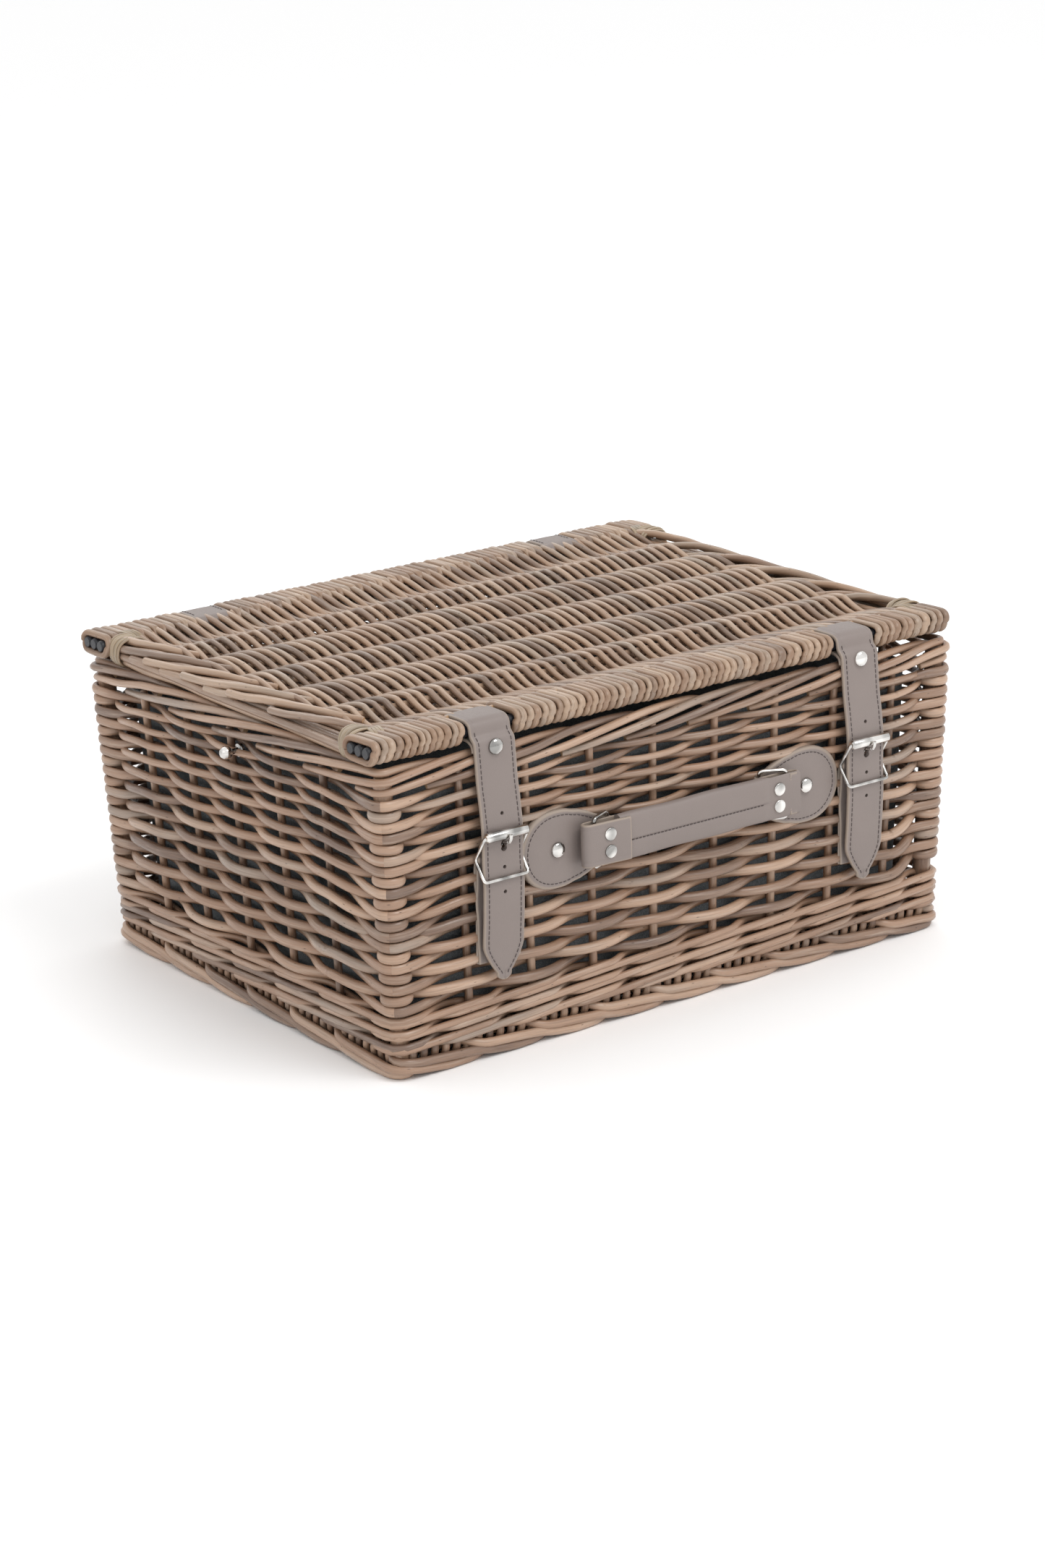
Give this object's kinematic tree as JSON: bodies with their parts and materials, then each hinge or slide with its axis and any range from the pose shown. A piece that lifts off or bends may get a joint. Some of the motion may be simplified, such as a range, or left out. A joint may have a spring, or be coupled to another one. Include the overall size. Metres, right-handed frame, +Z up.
{
  "type": "picnic hamper",
  "caption": "Rectangular woven willow picnic hamper with tapered randed walls, hinged lid, leather straps with roller buckles, leather carrying handle and cloth lining",
  "frame": {"origin": "middle of the whole object's plan, on the surface that the foot border stands on", "axes": "+Z up; -Y is the front wall with the handle and buckles; +X is to the right when facing the front"},
  "size_m": [0.421, 0.338, 0.2003],
  "materials": {
    "willow": "woven natural willow rods, antique wash, satin",
    "willow_dark": "willow, darker, matt",
    "cane": "split cane lashing, satin",
    "leather": "taupe imitation leather, satin, dark stitching",
    "chrome": "polished nickel or chrome plate",
    "lining": "charcoal woven cloth, matt"
  },
  "bodies": {
    "hamper_body": {"base_weave": "willow_dark", "foot_border": "willow", "bottom_wale": "willow", "rim_border": "willow", "front_wall": "willow", "back_wall": "willow", "left_wall": "willow", "right_wall": "willow", "corner_post_front_left": "willow", "corner_post_front_right": "willow", "corner_post_back_left": "willow", "corner_post_back_right": "willow", "lining": "lining", "stay_ball_stud": "chrome", "buckle_strap_left": "leather", "buckle_strap_rivet_left": "chrome", "buckle_frame_left": "chrome", "hinge_strap_left": "leather", "hinge_rivet_left": "chrome", "handle_tab_left": "leather", "handle_tab_rivet_left": "chrome", "buckle_strap_right": "leather", "buckle_strap_rivet_right": "chrome", "buckle_frame_right": "chrome", "hinge_strap_right": "leather", "hinge_rivet_right": "chrome", "handle_tab_right": "leather", "handle_tab_rivet_right": "chrome"},
    "lid": {"lid_weave": "willow", "lid_front_rod_1": "willow_dark", "lid_front_rod_2": "willow_dark", "lid_front_rod_3": "willow_dark", "lid_back_rod_1": "willow_dark", "lid_back_rod_2": "willow_dark", "lid_back_rod_3": "willow_dark", "lid_border_left": "willow", "lid_border_right": "willow", "lid_corner_tie_front_left": "cane", "lid_corner_tie_front_right": "cane", "lid_corner_tie_back_left": "cane", "lid_corner_tie_back_right": "cane", "strap_rivet_left": "chrome", "strap_rivet_right": "chrome"},
    "strap_left": {"closure_strap_left": "leather"},
    "strap_right": {"closure_strap_right": "leather"},
    "roller_left": {"buckle_roller_left": "chrome"},
    "roller_right": {"buckle_roller_right": "chrome"},
    "prong_left": {"buckle_prong_left": "chrome"},
    "prong_right": {"buckle_prong_right": "chrome"},
    "handle": {"handle_band": "leather", "handle_rivet_left_lower": "chrome", "handle_rivet_left_upper": "chrome", "handle_rivet_right_lower": "chrome", "handle_rivet_right_upper": "chrome"},
    "ring_left": {"handle_ring_left": "chrome"},
    "ring_right": {"handle_ring_right": "chrome"}
  },
  "joints": [
    {"name": "lid_hinge", "type": "hinge", "parent": "hamper_body", "child": "lid", "pos_m": [0.00383, 0.16797, 0.1818], "axis": [-1, 0, 0], "range_deg": [0, 100], "deforming": ["hinge_strap_left", "hinge_strap_right", "closure_strap_left", "closure_strap_right"]},
    {"name": "strap_left_hang", "type": "hinge", "parent": "lid", "child": "strap_left", "pos_m": [-0.12717, -0.15483, 0.175], "axis": [1, 0, 0], "range_deg": [0, 90]},
    {"name": "strap_right_hang", "type": "hinge", "parent": "lid", "child": "strap_right", "pos_m": [0.13484, -0.15483, 0.175], "axis": [1, 0, 0], "range_deg": [0, 90]},
    {"name": "roller_left_spin", "type": "hinge", "parent": "hamper_body", "child": "roller_left", "pos_m": [-0.12717, -0.16353, 0.1355], "axis": [1, 0, 0], "continuous": true},
    {"name": "prong_left_lift", "type": "hinge", "parent": "hamper_body", "child": "prong_left", "pos_m": [-0.12717, -0.15393, 0.121], "axis": [1, 0, 0], "range_deg": [0, 12]},
    {"name": "roller_right_spin", "type": "hinge", "parent": "hamper_body", "child": "roller_right", "pos_m": [0.13484, -0.16353, 0.1355], "axis": [1, 0, 0], "continuous": true},
    {"name": "prong_right_lift", "type": "hinge", "parent": "hamper_body", "child": "prong_right", "pos_m": [0.13484, -0.15393, 0.121], "axis": [1, 0, 0], "range_deg": [0, 12]},
    {"name": "handle_pull", "type": "slide", "parent": "hamper_body", "child": "handle", "axis": [0, -1, 0], "range_m": [0, 0.005]},
    {"name": "ring_left_swing", "type": "hinge", "parent": "hamper_body", "child": "ring_left", "pos_m": [-0.05117, -0.15363, 0.1155], "axis": [0, 0, 1], "range_deg": [0, 23]},
    {"name": "ring_right_swing", "type": "hinge", "parent": "hamper_body", "child": "ring_right", "pos_m": [0.05883, -0.15363, 0.1155], "axis": [0, 0, -1], "range_deg": [0, 23]}
  ],
  "couplings": [
    {"joint": "strap_left_hang", "follows": "lid_hinge", "ratio": 0.9},
    {"joint": "strap_right_hang", "follows": "lid_hinge", "ratio": 0.9},
    {"joint": "ring_left_swing", "follows": "handle_pull", "rad_per_m": 79.25},
    {"joint": "ring_right_swing", "follows": "handle_pull", "rad_per_m": 79.25}
  ]
}
